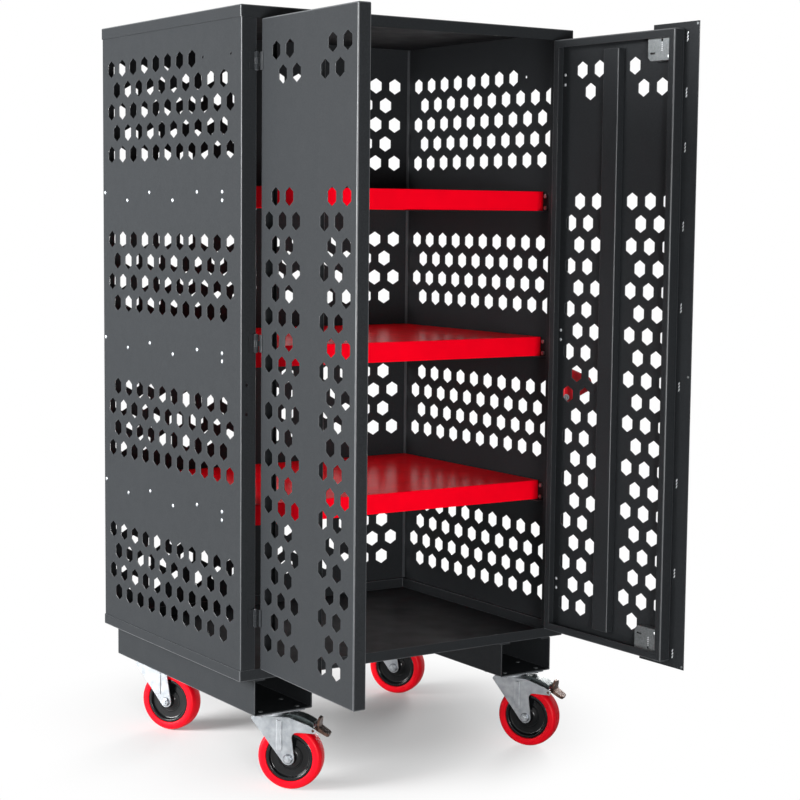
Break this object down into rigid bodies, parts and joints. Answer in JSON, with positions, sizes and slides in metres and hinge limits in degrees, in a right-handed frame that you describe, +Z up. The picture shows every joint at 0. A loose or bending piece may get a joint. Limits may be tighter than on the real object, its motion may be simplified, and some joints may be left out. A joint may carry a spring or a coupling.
{
  "type": "mobile mesh cabinet",
  "caption": "Tall sheet-steel tool cabinet on swivel casters, with hexagon-perforated doors standing open, red shelves, a closing strip with lock cases and a red push grip.",
  "frame": {"origin": "on the floor, under the middle of the cabinet body", "axes": "+X to the right seen from the front, +Y to the back, +Z up"},
  "size_m": [1.0719, 1.2937, 1.9206],
  "materials": {
    "powder_grey": "dark grey fine-texture powder coat",
    "shelf_red": "bright red gloss powder coat",
    "zinc": "bright zinc plate",
    "lock_zinc": "mottled galvanised steel",
    "tyre_red": "red polyurethane tread",
    "hub_black": "black moulded nylon",
    "brake_dark": "dark plated steel",
    "brake_bronze": "bronze-tinted plated steel",
    "grip_red": "red moulded plastic"
  },
  "bodies": {
    "cabinet": {"top_tray": "powder_grey", "base_tray": "powder_grey", "left_side_panel": "powder_grey", "right_side_panel": "powder_grey", "left_stile": "powder_grey", "right_stile": "powder_grey", "back_panel": "powder_grey", "lower_shelf": "shelf_red", "middle_shelf": "shelf_red", "upper_shelf": "shelf_red", "lower_shelf_rail_left": "powder_grey", "lower_shelf_rail_right": "powder_grey", "middle_shelf_rail_left": "powder_grey", "middle_shelf_rail_right": "powder_grey", "upper_shelf_rail_left": "powder_grey", "upper_shelf_rail_right": "powder_grey", "left_caster_channel": "powder_grey", "right_caster_channel": "powder_grey", "left_lower_hinge_stile_leaf": "powder_grey", "left_middle_hinge_stile_leaf": "powder_grey", "left_upper_hinge_stile_leaf": "powder_grey", "right_lower_hinge_stile_leaf": "powder_grey", "right_middle_hinge_stile_leaf": "powder_grey", "right_upper_hinge_stile_leaf": "powder_grey", "push_grip": "grip_red", "front_left_caster_plate": "zinc", "front_right_caster_plate": "zinc", "rear_left_caster_plate": "zinc", "rear_right_caster_plate": "zinc"},
    "left_door_leaf": {"left_door": "powder_grey", "left_door_stiffener": "powder_grey", "left_lower_hinge_door_leaf": "powder_grey", "left_middle_hinge_door_leaf": "powder_grey", "left_upper_hinge_door_leaf": "powder_grey"},
    "right_door_leaf": {"right_door": "powder_grey", "right_door_stiffener": "powder_grey", "closing_strip": "powder_grey", "upper_lock_case": "lock_zinc", "lower_lock_case": "lock_zinc", "right_lower_hinge_door_leaf": "powder_grey", "right_middle_hinge_door_leaf": "powder_grey", "right_upper_hinge_door_leaf": "powder_grey"},
    "upper_bolt": {"upper_lock_bolt": "zinc"},
    "lower_bolt": {"lower_lock_bolt": "zinc"},
    "front_left_fork": {"front_left_caster_fork": "zinc", "front_left_caster_brake_plate": "brake_dark"},
    "front_left_wheel": {"front_left_caster_hub": "hub_black", "front_left_caster_tyre": "tyre_red"},
    "front_left_pedal": {"front_left_caster_brake_pedal": "brake_bronze"},
    "front_right_fork": {"front_right_caster_fork": "zinc", "front_right_caster_brake_plate": "brake_dark"},
    "front_right_wheel": {"front_right_caster_hub": "hub_black", "front_right_caster_tyre": "tyre_red"},
    "front_right_pedal": {"front_right_caster_brake_pedal": "brake_bronze"},
    "rear_left_fork": {"rear_left_caster_fork": "zinc"},
    "rear_left_wheel": {"rear_left_caster_hub": "hub_black", "rear_left_caster_tyre": "tyre_red"},
    "rear_right_fork": {"rear_right_caster_fork": "zinc"},
    "rear_right_wheel": {"rear_right_caster_hub": "hub_black", "rear_right_caster_tyre": "tyre_red"}
  },
  "joints": [
    {"name": "left_door_hinge", "type": "hinge", "parent": "cabinet", "child": "left_door_leaf", "pos_m": [-0.4614, -0.3963, 1.1246], "axis": [0, 0, -1], "range_deg": [-92, 28]},
    {"name": "right_door_hinge", "type": "hinge", "parent": "cabinet", "child": "right_door_leaf", "pos_m": [0.4614, -0.3963, 1.1246], "axis": [0, 0, 1], "range_deg": [-92, 28]},
    {"name": "upper_bolt_slide", "type": "slide", "parent": "right_door_leaf", "child": "upper_bolt", "axis": [0, 0, 1], "range_m": [0, 0.014]},
    {"name": "lower_bolt_slide", "type": "slide", "parent": "right_door_leaf", "child": "lower_bolt", "axis": [0, 0, -1], "range_m": [0, 0.014]},
    {"name": "front_left_swivel", "type": "hinge", "parent": "cabinet", "child": "front_left_fork", "pos_m": [-0.3765, -0.325, 0.2035], "axis": [0, 0, 1], "continuous": true},
    {"name": "front_left_roll", "type": "hinge", "parent": "front_left_fork", "child": "front_left_wheel", "pos_m": [-0.33899, -0.36384, 0.08279], "axis": [0.7193, 0.6947, 0], "continuous": true},
    {"name": "front_left_brake", "type": "hinge", "parent": "front_left_fork", "child": "front_left_pedal", "pos_m": [-0.29453, -0.40988, 0.15779], "axis": [0.7193, 0.6947, 0], "range_deg": [0, 16]},
    {"name": "front_right_swivel", "type": "hinge", "parent": "cabinet", "child": "front_right_fork", "pos_m": [0.3765, -0.325, 0.2035], "axis": [0, 0, 1], "continuous": true},
    {"name": "front_right_roll", "type": "hinge", "parent": "front_right_fork", "child": "front_right_wheel", "pos_m": [0.40512, -0.37079, 0.08279], "axis": [0.848, 0.5299, 0], "continuous": true},
    {"name": "front_right_brake", "type": "hinge", "parent": "front_right_fork", "child": "front_right_pedal", "pos_m": [0.43903, -0.42507, 0.15779], "axis": [0.848, 0.5299, 0], "range_deg": [0, 16]},
    {"name": "rear_left_swivel", "type": "hinge", "parent": "cabinet", "child": "rear_left_fork", "pos_m": [-0.3765, 0.325, 0.2035], "axis": [0, 0, 1], "continuous": true},
    {"name": "rear_left_roll", "type": "hinge", "parent": "rear_left_fork", "child": "rear_left_wheel", "pos_m": [-0.34709, 0.27971, 0.08279], "axis": [0.8387, 0.5446, 0], "continuous": true},
    {"name": "rear_right_swivel", "type": "hinge", "parent": "cabinet", "child": "rear_right_fork", "pos_m": [0.3765, 0.325, 0.2035], "axis": [0, 0, 1], "continuous": true},
    {"name": "rear_right_roll", "type": "hinge", "parent": "rear_right_fork", "child": "rear_right_wheel", "pos_m": [0.40747, 0.28077, 0.08279], "axis": [0.8192, 0.5736, 0], "continuous": true}
  ]
}
